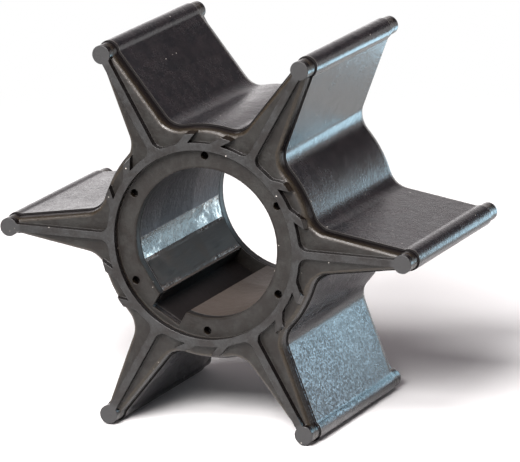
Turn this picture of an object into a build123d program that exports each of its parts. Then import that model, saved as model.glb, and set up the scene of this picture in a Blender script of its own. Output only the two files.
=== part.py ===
from build123d import *
import os
from math import atan2, cos, degrees, hypot, radians, sin

# A flexible six-vane water-pump impeller: one rubber moulding bonded round a keyed metal sleeve.
# Frame: the shaft axis is Y and the origin is the middle of the bore. The front end face looks
# along -Y, +X is right and +Z is up, so the impeller stands on the beads of its two lower vanes.
# Millimetres. Sketches are drawn in X and Z, and angles are counted from +X towards +Z.

# ---- Shaft and key that the sleeve fits ----
shaft_diameter = 22.2           # seven-eighths shaft
shaft_clearance = 0.1           # on the diameter
key_width = 4.76                # three-sixteenths key
key_side_clearance = 0.06       # both sides together
keyway_depth = 2.05             # from the bore's wall to the keyway's floor
keyway_angle = 240.0            # lines up with the lower left vane
flat_start_angle = 199.0        # the flat beside the keyway, as two angles on the bore
flat_end_angle = 226.0

# ---- Metal sleeve ----
wall_behind_keyway = 1.0
mouth_chamfer = 0.4             # round each end of the sleeve's bore

# ---- Rubber hub and vanes, between the two parting planes ----
width = 33.5                    # over the rib tops, front to back
vane_count = 6
tip_pitch_radius = 31.0         # shaft axis to the centre of a tip bead
bead_radius = 1.6
rubber_over_sleeve = 3.15       # hub wall between the vanes
vane_root_thickness = 7.0       # where the vane's sides meet the hub
vane_neck_thickness = 2.95      # where they meet the bead
vane_root_fillet = 3.1
bead_neck_fillet = 1.0

# ---- End faces: ledge at the parting plane, drafted shoulder, floor, ribs ----
parting_depth = 2.8             # parting plane below the rib tops
floor_depth = 1.0               # floor between the ribs below the rib tops
ledge_width = 0.2               # step left where the mould halves met
floor_inset = 0.5               # top of the shoulder inside the full outline
floor_edge_height = 0.5         # the floor's edge is rolled off over this height
floor_edge_tapers = [25.0, 62.0]  # in two facets, each at its own angle to the axis
bead_nose_radius = 1.38         # the round end of a bead, past the parting plane

# ---- Raised ribs on the end faces ----
ring_rib_lap = 0.2              # the ring rib starts this far inside the sleeve's outside
ring_rib_width = 1.1
vane_rib_width = 1.1
slanted_rib_width = 1.05
vane_rib_corner = 1.4           # fillet between the ring rib and a vane rib
slanted_rib_corner = 1.2        # fillet on a slanted rib's open side; the narrow side is sharp
slanted_rib_end_inset = 0.95    # its top ends this far inside the hub's edge
# The slanted ribs between two vanes, as shares of the vane pitch clockwise from the first vane:
# where the rib leaves the ring rib, then where it reaches the hub's edge.
slanted_ribs = [(0.311, 0.45), (0.638, 0.79)]

# ---- End collars, which lap over the ends of the sleeve ----
collar_recess = 1.3             # collar face below the rib tops
collar_thickness = 1.7
pin_hole_radius = 0.6           # holes left by the pins that held the sleeve in the mould
pin_hole_margin = 1.85          # from the bore's wall to the centre of a hole

# ---- Worked out ----
vane_pitch = 360.0 / vane_count
bore_radius = (shaft_diameter + shaft_clearance) / 2
keyway_width = key_width + key_side_clearance
keyway_floor_radius = bore_radius + keyway_depth
sleeve_radius = keyway_floor_radius + wall_behind_keyway
sleeve_half_length = width / 2 - collar_recess - collar_thickness
hub_radius = sleeve_radius + rubber_over_sleeve
ring_rib_inner_radius = sleeve_radius - ring_rib_lap
ring_rib_outer_radius = ring_rib_inner_radius + ring_rib_width
parting_plane = width / 2 - parting_depth
shoulder_height = parting_depth - floor_depth
shoulder_draft = degrees(atan2(floor_inset - ledge_width, shoulder_height))
slanted_rib_end_slope = degrees(atan2(slanted_rib_end_inset - ledge_width, parting_depth))


def ahead(distance):
    """The sketch plane a distance in front of the middle, facing the front."""
    return Plane.XZ.offset(distance)


def at(radius, angle):
    """The sketch point at a radius and an angle in degrees."""
    return Vector(radius * cos(radians(angle)), radius * sin(radians(angle)))


def on_each_vane(sketch):
    """Copies of a sketch, drawn for the vane at +X, on every vane."""
    return [Rot(0, 0, index * vane_pitch) * sketch for index in range(vane_count)]


def corners_near(sketch, radius, margin=0.02):
    """The corners of a sketch that lie on a circle about the shaft, within a margin."""
    return [v for v in sketch.vertices() if abs(hypot(v.X, v.Y) - radius) < margin]


def full_outline():
    """Hub, tapered vanes and round tip beads as one smooth closed outline."""
    neck_radius = tip_pitch_radius - bead_radius / 2
    half_root = vane_root_thickness / 2
    slope = (vane_root_thickness - vane_neck_thickness) / 2 / (neck_radius - hub_radius)
    inner_radius = hub_radius / 2
    half_inner = half_root + slope * (hub_radius - inner_radius)
    half_outer = half_root - slope * (tip_pitch_radius - hub_radius)
    vane = Polygon(
        (inner_radius, -half_inner),
        (tip_pitch_radius, -half_outer),
        (tip_pitch_radius, half_outer),
        (inner_radius, half_inner),
        align=None,
    )
    bead = Pos(tip_pitch_radius, 0) * Circle(bead_radius)
    outline = Circle(hub_radius) + on_each_vane(vane) + on_each_vane(bead)
    outline = fillet(corners_near(outline, hub_radius), vane_root_fillet)
    return fillet(corners_near(outline, neck_radius, bead_radius / 2), bead_neck_fillet)


def vane_rib_network():
    """The ring rib's disc with a straight rib along every vane."""
    rib = Pos(tip_pitch_radius / 2, 0) * Rectangle(tip_pitch_radius, vane_rib_width)
    network = Circle(ring_rib_outer_radius) + on_each_vane(rib)
    return fillet(corners_near(network, ring_rib_outer_radius), vane_rib_corner)


def slanted_rib(leaves, reaches):
    """One slanted rib, clockwise of the vane at +X, running a little past the hub's edge."""
    start = at(ring_rib_outer_radius, -leaves * vane_pitch)
    end = at(hub_radius, -reaches * vane_pitch)
    along = (end - start).normalized()
    start -= along * slanted_rib_width
    end += along * slanted_rib_width
    rib = Rectangle((end - start).length, slanted_rib_width)
    return Pos((start + end) / 2) * Rot(0, 0, degrees(atan2(along.Y, along.X))) * rib


def slanted_rib_network():
    """The ring rib's disc with the slanted ribs, rounded on each rib's open side."""
    ribs = [copy for shares in slanted_ribs for copy in on_each_vane(slanted_rib(*shares))]
    network = Circle(ring_rib_outer_radius) + ribs
    corners = corners_near(network, ring_rib_outer_radius)
    corners.sort(key=lambda corner: atan2(corner.Y, corner.X))
    # Anticlockwise from -X, each rib's narrow side comes first and its open side second.
    return fillet(corners[1::2], slanted_rib_corner)


def end_face(outline, with_slanted_ribs):
    """Everything that stands in front of the front parting plane."""
    ledge = ahead(parting_plane) * offset(outline, -ledge_width)
    shoulder = extrude(ledge, shoulder_height - floor_edge_height, taper=shoulder_draft)
    for taper in floor_edge_tapers:
        top = shoulder.faces().sort_by(Axis.Y)[0]
        shoulder += extrude(top, floor_edge_height / len(floor_edge_tapers), taper=taper)

    ribs = extrude(ahead(parting_plane) * vane_rib_network(), parting_depth)
    ribs &= extrude(ledge, parting_depth, taper=shoulder_draft)
    if with_slanted_ribs:
        slanted = extrude(ahead(parting_plane) * slanted_rib_network(), parting_depth)
        rib_ends = ahead(parting_plane) * Circle(hub_radius - ledge_width)
        ribs += slanted & extrude(rib_ends, parting_depth, taper=slanted_rib_end_slope)

    disc = Pos(tip_pitch_radius, 0) * Circle(bead_nose_radius)
    noses = extrude(ahead(parting_plane) * Sketch(on_each_vane(disc)), parting_depth)
    recess = extrude(ahead(width / 2) * Circle(ring_rib_inner_radius), -collar_recess)
    return shoulder + ribs + noses - recess


def bore_profile():
    """The shaft bore with its keyway and the flat beside the keyway."""
    flat_angle = (flat_start_angle + flat_end_angle) / 2
    flat_radius = bore_radius * cos(radians(flat_end_angle - flat_start_angle) / 2)
    behind_flat = Pos(flat_radius + bore_radius / 2, 0) * Rectangle(bore_radius, 2 * bore_radius)
    keyway = Pos(keyway_floor_radius / 2, 0) * Rectangle(keyway_floor_radius, keyway_width)
    bore = Circle(bore_radius) - Rot(0, 0, flat_angle) * behind_flat
    return bore + Rot(0, 0, keyway_angle) * keyway


def drive_sleeve(bore):
    """Keyed metal sleeve, with a chamfer round each mouth of the bore."""
    sleeve = extrude(ahead(0) * (Circle(sleeve_radius) - bore), sleeve_half_length, both=True)
    mouth = Cone(bore_radius - mouth_chamfer, bore_radius + mouth_chamfer, 2 * mouth_chamfer)
    front_mouth = Pos(0, -sleeve_half_length, 0) * Rot(90, 0, 0) * mouth
    return sleeve - front_mouth - mirror(front_mouth, Plane.XZ)


def rubber_body(bore):
    """The whole moulding: middle, two end faces, the sleeve's seat, the collars and their holes."""
    outline = full_outline()
    middle = extrude(ahead(0) * outline, parting_plane, both=True)
    front = end_face(outline, with_slanted_ribs=True)
    back = mirror(end_face(outline, with_slanted_ribs=False), Plane.XZ)
    body = middle + front + back
    body -= extrude(ahead(0) * Circle(sleeve_radius), sleeve_half_length, both=True)
    hole = Pos(at(bore_radius + pin_hole_margin, vane_pitch / 2)) * Circle(pin_hole_radius)
    body -= extrude(ahead(0) * (bore + on_each_vane(hole)), width / 2)
    # The back collar's opening is plain round, so the key stops against it.
    return body - extrude(ahead(0) * (Circle(bore_radius) + on_each_vane(hole)), -width / 2)


bore = bore_profile()
os.makedirs("parts", exist_ok=True)
export_step(rubber_body(bore), "parts/rubber_body.step")
export_step(drive_sleeve(bore), "parts/drive_sleeve.step")
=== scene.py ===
from math import cos, pi, radians, sin

import bmesh
import bpy
from mathutils import Matrix, Quaternion, Vector


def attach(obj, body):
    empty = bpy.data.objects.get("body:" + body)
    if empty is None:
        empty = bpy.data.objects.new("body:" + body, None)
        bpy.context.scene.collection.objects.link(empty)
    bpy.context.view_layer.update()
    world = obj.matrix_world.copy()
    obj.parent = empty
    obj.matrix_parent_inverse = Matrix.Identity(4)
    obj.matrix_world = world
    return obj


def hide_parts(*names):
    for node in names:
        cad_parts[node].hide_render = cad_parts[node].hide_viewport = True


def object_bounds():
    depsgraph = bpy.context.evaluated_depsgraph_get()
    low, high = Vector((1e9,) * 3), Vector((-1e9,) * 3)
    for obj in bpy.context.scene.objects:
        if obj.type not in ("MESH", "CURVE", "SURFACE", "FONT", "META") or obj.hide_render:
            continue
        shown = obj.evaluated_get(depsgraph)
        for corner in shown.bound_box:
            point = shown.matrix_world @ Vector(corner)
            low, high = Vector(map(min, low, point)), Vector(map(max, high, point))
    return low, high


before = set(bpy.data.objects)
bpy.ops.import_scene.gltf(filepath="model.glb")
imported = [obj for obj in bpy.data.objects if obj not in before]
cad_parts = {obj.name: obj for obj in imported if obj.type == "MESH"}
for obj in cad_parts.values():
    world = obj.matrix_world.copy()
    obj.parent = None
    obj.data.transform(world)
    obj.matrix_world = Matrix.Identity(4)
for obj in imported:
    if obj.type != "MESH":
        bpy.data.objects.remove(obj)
cad_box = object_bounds()


# ---- Rubber moulding ----
# The hub, vanes, tip beads and end ribs are one black rubber moulding, bonded round the sleeve.
# The mould's polished sides left the vanes satin and its end plates left the faces dull. The rib
# tops are paler than the floors between them, and a bloom has come out where the lower right vane
# is scuffed, with a painted blue sheen over it.

mm = 0.001
bore_radius = 11.15 * mm
bead_start = 29.4 * mm              # from the shaft's axis to the inner side of a tip bead
rib_tops = cad_box[1].y             # from the middle of the hub, and so are the next two
floor_plane = rib_tops - 1.0 * mm
parting_plane = rib_tops - 2.8 * mm
crisp_radius = 0.05 * mm            # of the rounding along edges between the parting planes
soft_radius = 0.20 * mm             # of the rounding along edges on the end faces


class Wire:
    """A value in a node tree. Sums, differences and products of values add Math nodes."""

    def __init__(self, tree, socket=None):
        self.tree = tree
        self.socket = socket

    def node(self, kind, settings, sockets, output=0):
        """A new node: its settings are set first, then its sockets, from numbers or wires."""
        made = self.tree.nodes.new(kind)
        for name, value in settings.items():
            setattr(made, name, value)
        for name, value in sockets.items():
            if isinstance(value, Wire):
                self.tree.links.new(value.socket, made.inputs[name])
            else:
                made.inputs[name].default_value = value
        return Wire(self.tree, made.outputs[output])

    def math(self, operation, *values):
        return self.node("ShaderNodeMath", {"operation": operation}, dict(enumerate(values)))

    def __add__(self, other):
        return self.math("ADD", self, other)

    def __sub__(self, other):
        return self.math("SUBTRACT", self, other)

    def __rsub__(self, other):
        return self.math("SUBTRACT", other, self)

    def __mul__(self, other):
        return self.math("MULTIPLY", self, other)

    __radd__ = __add__
    __rmul__ = __mul__

    def size(self):
        """The value without its sign."""
        return self.math("ABSOLUTE", self)

    def at_most(self, limit):
        """The value, or the limit where the value is above it."""
        return self.math("MINIMUM", self, limit)

    def step(self, low, high):
        """Smoothly 0 below low and 1 above high."""
        ends = {"Value": self, "From Min": low, "From Max": high}
        return self.node("ShaderNodeMapRange", {"interpolation_type": "SMOOTHSTEP"}, ends)

    def between(self, low, high):
        """The colour low where this value is 0, and the colour high where it is 1."""
        return self.node("ShaderNodeMix", {"data_type": "RGBA"}, {0: self, 6: low, 7: high}, 2)

    def part(self, axis):
        """One coordinate of a vector."""
        return self.node("ShaderNodeSeparateXYZ", {}, {0: self}, axis)

    def length(self):
        """The length of a vector."""
        return self.node("ShaderNodeVectorMath", {"operation": "LENGTH"}, {0: self}, "Value")

    def from_shaft(self):
        """The distance of this place from the shaft's axis, which is Y."""
        across = {0: self, 1: (1, 0, 1)}
        return self.node("ShaderNodeVectorMath", {"operation": "MULTIPLY"}, across).length()

    def stretched(self, times):
        """This place with every pattern on it drawn out along the shaft."""
        return self.node("ShaderNodeMapping", {}, {0: self, "Scale": (1.0, 1.0 / times, 1.0)})

    def noise(self, grain, detail, roughness):
        """Noise from 0 to 1 at this place, with grains about so many metres across."""
        ends = {"Vector": self, "Scale": 1 / grain, "Detail": detail, "Roughness": roughness}
        return self.node("ShaderNodeTexNoise", {}, ends)

    def cells(self, across):
        """A random value from 0 to 1 in each of many cells, about so many metres across."""
        ends = {"Vector": self, "Scale": 1 / across}
        return self.node("ShaderNodeTexVoronoi", {}, ends, "Color").part("X")

    def dots(self, apart, radius):
        """1 in small round dots and 0 elsewhere, for a spacing and a radius in metres."""
        ends = {"Vector": self, "Scale": 1 / apart}
        from_dot = self.node("ShaderNodeTexVoronoi", {}, ends)
        return 1.0 - from_dot.step(radius / apart, 2 * radius / apart)


class Finish:
    """A material on its Principled shader, with values that are the same all over it."""

    def __init__(self, name, **same_all_over):
        self.material = bpy.data.materials.new(name)
        self.material.use_nodes = True
        self.tree = self.material.node_tree
        self.shader = self.tree.nodes["Principled BSDF"]
        for socket, value in same_all_over.items():
            self.shader.inputs[socket.replace("_", " ")].default_value = value
        self.place = Wire(self.tree).node("ShaderNodeTexCoord", {}, {}, "Object")
        self.facing = Wire(self.tree).node("ShaderNodeTexCoord", {}, {}, "Normal")

    def feed(self, socket, value):
        """Lets a value that changes over the surface drive one socket of the shader."""
        self.tree.links.new(value.socket, self.shader.inputs[socket])

    def bump(self, height, strength, distance, rounder=0.0):
        """Grain from a height, over edges that look rounded: more so where rounder is 1."""
        crisp = self.place.node("ShaderNodeBevel", {"samples": 6}, {"Radius": crisp_radius})
        soft = self.place.node("ShaderNodeBevel", {"samples": 6}, {"Radius": soft_radius})
        mixed = {0: rounder, 4: crisp, 5: soft}
        rounded = self.place.node("ShaderNodeMix", {"data_type": "VECTOR"}, mixed, 1)
        ends = {"Height": height, "Strength": strength, "Distance": distance, "Normal": rounded}
        self.feed("Normal", height.node("ShaderNodeBump", {}, ends))


rubber = Finish("moulded_rubber", IOR=1.45)

# Regions of the moulding, each 1 inside and 0 outside. Past the parting plane come the ledge, the
# shoulder with its rolled top edge, the floor, and the ribs that stand on the floor.
from_middle = rubber.place.part("Y").size()
from_shaft = rubber.place.from_shaft()
faces_end = rubber.facing.part("Y").size()
past_parting = from_middle.step(parting_plane - 0.07 * mm, parting_plane - 0.03 * mm)
past_ledge = from_middle.step(parting_plane + 0.1 * mm, parting_plane + 0.2 * mm)
past_floor = from_middle.step(floor_plane - 0.03 * mm, floor_plane + 0.02 * mm)
# The strip of the sides just short of the parting plane, where a glint is painted.
glint_rim = from_middle.step(parting_plane - 0.35 * mm, parting_plane - 0.2 * mm) - past_parting
ledge = past_parting - past_ledge
up_shoulder = from_middle.step(parting_plane + 0.45 * mm, floor_plane - 0.05 * mm)
rolled_edge = from_middle.step(floor_plane - 0.85 * mm, floor_plane - 0.45 * mm) - past_floor
end_on = faces_end.step(0.94, 0.99)
rib_wall = past_floor * (1.0 - faces_end.step(0.08, 0.20) * 0.4) * (1.0 - end_on)
rib_top = from_middle.step(rib_tops - 0.2 * mm, rib_tops - 0.05 * mm)
on_bead = from_shaft.step(bead_start - 0.4 * mm, bead_start + 0.2 * mm)
in_bore = 1.0 - from_shaft.step(bore_radius + 0.15 * mm, bore_radius + 0.45 * mm)
outward = rubber.facing.part("X").step(0.70, 0.85) * rubber.facing.part("Z").step(0.15, 0.30)
low_down = 1.0 - rubber.place.part("Z").step(-11.0 * mm, -8.0 * mm)
scuff_and_sheen = outward * low_down * (1.0 - past_ledge)

# Patterns in the rubber, from the finest to the broadest.
grit = rubber.place.cells(0.26 * mm)
speckle = rubber.place.noise(0.30 * mm, 3.0, 0.7).step(0.3, 0.7)
grain = rubber.place.noise(0.42 * mm, 3.0, 0.7)
mould_lines = rubber.place.stretched(6.0).noise(0.7 * mm, 3.0, 0.6).step(0.35, 0.65)
mottle = rubber.place.noise(2.0 * mm, 4.0, 0.65).step(0.35, 0.65)
swell = rubber.place.noise(2.2 * mm, 2.0, 0.5)
stone = rubber.place.noise(2.6 * mm, 5.0, 0.7).step(0.38, 0.62)
cloud = rubber.place.noise(9.0 * mm, 2.0, 0.5).step(0.35, 0.65)
patches = rubber.place.noise(12.0 * mm, 3.0, 0.6).step(0.35, 0.60)
dust = rubber.place.dots(2.4 * mm, 0.06 * mm)

# Colours of the vanes and the hub's sides, with a painted glint along the strip just short of the
# parting plane.
vane_black = (0.006, 0.007, 0.009, 1)
vane_grey = (0.018, 0.015, 0.017, 1)
glint_grey = (0.060, 0.056, 0.052, 1)
vane_colour = (mottle * 0.6 + mould_lines * 0.4).between(vane_black, vane_grey)
vane_colour = glint_rim.between(vane_colour, glint_grey)

# Colours of the shoulders, which are darkest at the foot and turn paler brown up towards the rolled
# edge: a brown film, with a painted warm sheen beside the edge's highlight.
shoulder_foot = (0.004, 0.003, 0.003, 1)
shoulder_dark = (0.009, 0.0065, 0.004, 1)
shoulder_brown = (0.028, 0.021, 0.013, 1)
shoulder_colour = speckle.between(shoulder_dark, shoulder_brown)
shoulder_colour = up_shoulder.between(shoulder_foot, shoulder_colour)

# Colours of the floors and, a little paler, of the ribs and the round ends of the beads.
floor_dark = (0.0055, 0.003, 0.0015, 1)
floor_brown = (0.0155, 0.0145, 0.0125, 1)
floor_speck = (0.002, 0.0015, 0.001, 1)
rib_dark = (0.012, 0.010, 0.009, 1)
rib_grey = (0.026, 0.0265, 0.0265, 1)
rib_speck = (0.005, 0.004, 0.004, 1)
bead_grey = (0.026, 0.026, 0.0265, 1)
floor_colour = (speckle * 0.6).between(stone.between(floor_dark, floor_brown), floor_speck)
rib_colour = (speckle * 0.6).between(stone.between(rib_dark, rib_grey), rib_speck)
rib_colour = on_bead.between(rib_colour, bead_grey)

# The whole moulding: painted shade darkens the ledge and the ribs' walls, and bloom with a painted
# blue sheen, and dust, lie on top.
shade_black = (0.003, 0.002, 0.002, 1)
bloom_sheen_blue = (0.15, 0.22, 0.28, 1)
dust_grey = (0.45, 0.42, 0.38, 1)
side_colour = past_ledge.between(vane_colour, shoulder_colour)
end_colour = rib_top.between(floor_colour, rib_colour)
unshaded_colour = end_on.between(side_colour, end_colour)
shaded_colour = (ledge + rib_wall).between(unshaded_colour, shade_black)
# On the low vane sides that face up and to the right, this is partly real bloom and partly a painted
# blue sheen.
bloom_and_sheen = (1.0 - grit.step(0.0, 0.7)) * scuff_and_sheen * (cloud * 0.4 + 0.5)
sheened_colour = bloom_and_sheen.between(shaded_colour, bloom_sheen_blue)
rubber.feed("Base Color", dust.between(sheened_colour, dust_grey))

# The sides are glossy where they are clean. Grit and scuffing make them duller, and the end faces,
# the collars' openings and the ledge are duller still.
grit_depth = (patches * 0.08 + 0.03) * (1.0 - past_ledge) + scuff_and_sheen * 0.16
wear = grit * grit_depth + mottle * 0.06 + cloud * 0.06
dull_parts = end_on * 0.24 + rolled_edge * 0.15 + in_bore * 0.3 + ledge * 0.5
rubber.feed("Roughness", 0.12 + wear + dull_parts)

# A fine relief in the rubber, over edges that are rounder on the end faces than along the vanes.
relief = grain * 0.5 + swell * 0.5 + grit * scuff_and_sheen * 0.5
on_end_face = from_middle.step(parting_plane + 0.25 * mm, parting_plane + 0.45 * mm)
rubber.bump(relief, 0.6, 0.13 * mm, on_end_face)

# The moulding as the CAD has it, with its shading turned smoothly over the rolled floor edges.
sharp_edge = radians(42)
moulding = bpy.data.objects.new("moulding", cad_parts["rubber_body"].data.copy())
bpy.context.scene.collection.objects.link(moulding)
welded = bmesh.new()
welded.from_mesh(moulding.data)
bmesh.ops.remove_doubles(welded, verts=welded.verts, dist=0.001 * mm)
for face in welded.faces:
    face.smooth = True
for edge in welded.edges:
    edge.smooth = edge.calc_face_angle() < sharp_edge
welded.to_mesh(moulding.data)
welded.free()
moulding.data.attributes.remove(moulding.data.attributes["custom_normal"])
turned = moulding.modifiers.new("turned_normals", "WEIGHTED_NORMAL")
turned.keep_sharp = True
moulding.data.materials.clear()
moulding.data.materials.append(rubber.material)
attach(moulding, "root")
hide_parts("rubber_body")


# ---- Drive sleeve ----
# A steel tube with a broached keyway and a flat takes the shaft's torque into the rubber. Its ends
# and keyway are painted black as shade. The bore's upper half is painted darker, a painted
# reflection of the shaded floor, its upward-facing bottom is brown and less metallic, and the
# machined metal between them is bright, with a duller middle.

steel = Finish("sleeve_metal", IOR=1.3)
steel_from_shaft = steel.place.from_shaft()
streaks = steel.place.stretched(8.0).noise(0.5 * mm, 3.0, 0.6)
blotch = steel.place.noise(4.0 * mm, 4.0, 0.6)

# Regions of the sleeve, each 1 inside and 0 outside. Blotches make the edges of some uneven.
flat = 1.0 - steel_from_shaft.step(bore_radius - 0.15 * mm, bore_radius - 0.07 * mm)
along = steel.place.part("Y") + blotch * (3.0 * mm)
dull_middle = along.step(-6.8 * mm, -5.2 * mm) - along.step(5.4 * mm, 6.6 * mm)
# The upper half is painted darker, a painted reflection of the shaded floor behind.
upper_half = (steel.place.part("Z") + blotch * (0.4 * mm)).step(-0.4 * mm, -0.1 * mm)
# The bottom of the bore, which faces up, is brown and less metallic.
facing_up_bottom = (steel.facing.part("Z") + blotch * 0.3).step(0.62, 0.80)
sleeve_end = steel.facing.part("Y").size().step(0.50, 0.65)
in_keyway = steel_from_shaft.step(bore_radius + 0.15 * mm, bore_radius + 0.45 * mm)
# Painted shade: the sleeve's ends and its keyway are painted black.
shaded_hollows = (sleeve_end + in_keyway).at_most(1.0)
marks = (steel.place.noise(1.2 * mm, 4.0, 0.7).step(0.40, 0.60) * 0.70 + 0.08) * (1.0 - flat)
tarnish = blotch.step(0.52, 0.58) * (1.0 - flat)

# Tool marks make the bare metal bright. Tarnish, the painted darkening of the upper half, the brown
# bottom and the painted black shade lie over it in that order.
bare_dark = (0.018, 0.017, 0.016, 1)
bare_bright = (0.42, 0.37, 0.34, 1)
tarnish_grey = (0.040, 0.036, 0.034, 1)
upper_shade_grey = (0.056, 0.049, 0.052, 1)
bottom_brown = (0.066, 0.053, 0.045, 1)
hollow_shade_black = (0.007, 0.005, 0.005, 1)
shine = marks * (0.9 - dull_middle * 0.80) + streaks * 0.12
machined_colour = tarnish.between(shine.between(bare_dark, bare_bright), tarnish_grey)
bore_colour = facing_up_bottom.between(upper_half.between(machined_colour, upper_shade_grey), bottom_brown)
steel.feed("Base Color", shaded_hollows.between(bore_colour, hollow_shade_black))
steel.feed("Metallic", (1.0 - facing_up_bottom * 0.85) * (1.0 - shaded_hollows))
bare_roughness = 0.14 + marks * 0.06 + dull_middle * 0.10 + flat * 0.16
steel.feed("Roughness", bare_roughness + upper_half * 0.34 + facing_up_bottom * 0.30 + shaded_hollows * 0.3)
steel.bump(streaks * 0.4 + marks * 0.6, 0.5, 0.10 * mm)

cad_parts["drive_sleeve"].material_slots[0].material = steel.material


# ---- Floor ----
# A sheet of white card that the part stands on. The lamps light it near the part, where it takes
# the shadow, and it is plain white further off.

reach = 2.5
level = cad_box[0].z
fades_seen = (0.10, 0.22)           # how far off the card turns plain, as the camera sees it
fades_mirrored = (0.07, 0.10)       # and as the part mirrors it
corners = [
    (-reach, -reach, level),
    (reach, -reach, level),
    (reach, reach, level),
    (-reach, reach, level),
]
card_mesh = bpy.data.meshes.new("card")
card_mesh.from_pydata(corners, [], [(0, 1, 2, 3)])
card = bpy.data.objects.new("card", card_mesh)
bpy.context.scene.collection.objects.link(card)

white = Finish("white_card", Base_Color=(0.98, 0.98, 0.98, 1), Roughness=0.9)
seen, mirrored, through = [
    white.place.node("ShaderNodeLightPath", {}, {}, f"Is {kind} Ray")
    for kind in ("Camera", "Glossy", "Transmission")
]
from_part = white.place.length()
fade_mirrored = (mirrored + through) * from_part.step(*fades_mirrored)
beyond = seen * from_part.step(*fades_seen) + fade_mirrored
plain = white.place.node("ShaderNodeEmission", {}, {"Color": (1, 1, 1, 1), "Strength": 1.0})
lit = Wire(white.tree, white.shader.outputs[0])
both = white.place.node("ShaderNodeMixShader", {}, {0: beyond, 1: lit, 2: plain})
white.tree.links.new(both.socket, white.tree.nodes["Material Output"].inputs["Surface"])
card_mesh.materials.append(white.material)


# ---- Walls and lamps ----
# White walls up to a little above the table, dim above that. Softboxes hang high in front and at the
# left, a wide faint one stands behind on the left, and a small cool card close behind on the right.

world = bpy.data.worlds.new("studio")
bpy.context.scene.world = world
world.use_nodes = True
direction = Wire(world.node_tree).node("ShaderNodeTexCoord", {}, {}, "Generated")
lit_wall = (1.0, 0.97, 0.975, 1)
dim_wall = (0.135, 0.115, 0.12, 1)
walls = direction.part("Z").step(0.12, 0.20).between(lit_wall, dim_wall)
background = world.node_tree.nodes["Background"]
world.node_tree.links.new(walls.socket, background.inputs["Color"])
background.inputs["Strength"].default_value = 1.0

warm_white = (1.0, 0.965, 0.96)
wall_white = (1.0, 0.96, 0.965)
cool_blue = (0.50, 0.81, 1.0)


def softbox(name, azimuth, elevation, away, width, tall, brightness, colour=warm_white, turn=0):
    """A rectangular lamp facing the part. Azimuth 0 is in front of the part and 90 at its right.
    A turn tilts it about the line to the part, right end up as it looks there. All in degrees."""
    lamp = bpy.data.lights.new(name, "AREA")
    lamp.shape = "RECTANGLE"
    lamp.size = width
    lamp.size_y = tall
    lamp.energy = brightness * pi * width * tall
    lamp.color = colour
    a, e = radians(azimuth), radians(elevation)
    toward = Vector((sin(a) * cos(e), -cos(a) * cos(e), sin(e)))
    facing_part = (-toward).to_track_quat("-Z", "Y")
    hung = bpy.data.objects.new(name, lamp)
    hung.location = toward * away
    hung.rotation_euler = (facing_part @ Quaternion((0, 0, 1), radians(turn))).to_euler()
    hung.visible_camera = False
    bpy.context.scene.collection.objects.link(hung)
    return hung


softbox("front_softbox", 5, 33, 0.8, 0.34, 0.20, 42.0)
softbox("top_softbox", 2, 51, 0.8, 0.34, 0.20, 24.0)
softbox("left_softbox", -28, 38, 0.8, 0.32, 0.24, 12.0)
softbox("left_wall", 205, 12, 1.0, 0.90, 0.50, 0.76, wall_white)
cool = softbox("cool_card", 151, -2.9, 0.10, 0.054, 0.0255, 4.8, cool_blue, turn=11)
cool.visible_diffuse = False


# ---- Camera ----
# A long lens a little above the part and to the right of its front.

azimuth, elevation, roll = radians(23.953), radians(14.110), radians(-0.809)
back = Vector((sin(azimuth) * cos(elevation), -cos(azimuth) * cos(elevation), sin(elevation)))
stand = Matrix.Translation((0.31341, -0.70172, 0.19137))
aim = back.to_track_quat("Z", "Y").to_matrix().to_4x4()
camera = bpy.data.objects.new("camera", bpy.data.cameras.new("camera"))
camera.data.lens = 374.45
camera.data.clip_start = 0.01
camera.data.clip_end = 20.0
camera.matrix_world = stand @ aim @ Matrix.Rotation(roll, 4, "Z")
bpy.context.scene.collection.objects.link(camera)
bpy.context.scene.camera = camera
bpy.context.scene.view_settings.view_transform = "Standard"
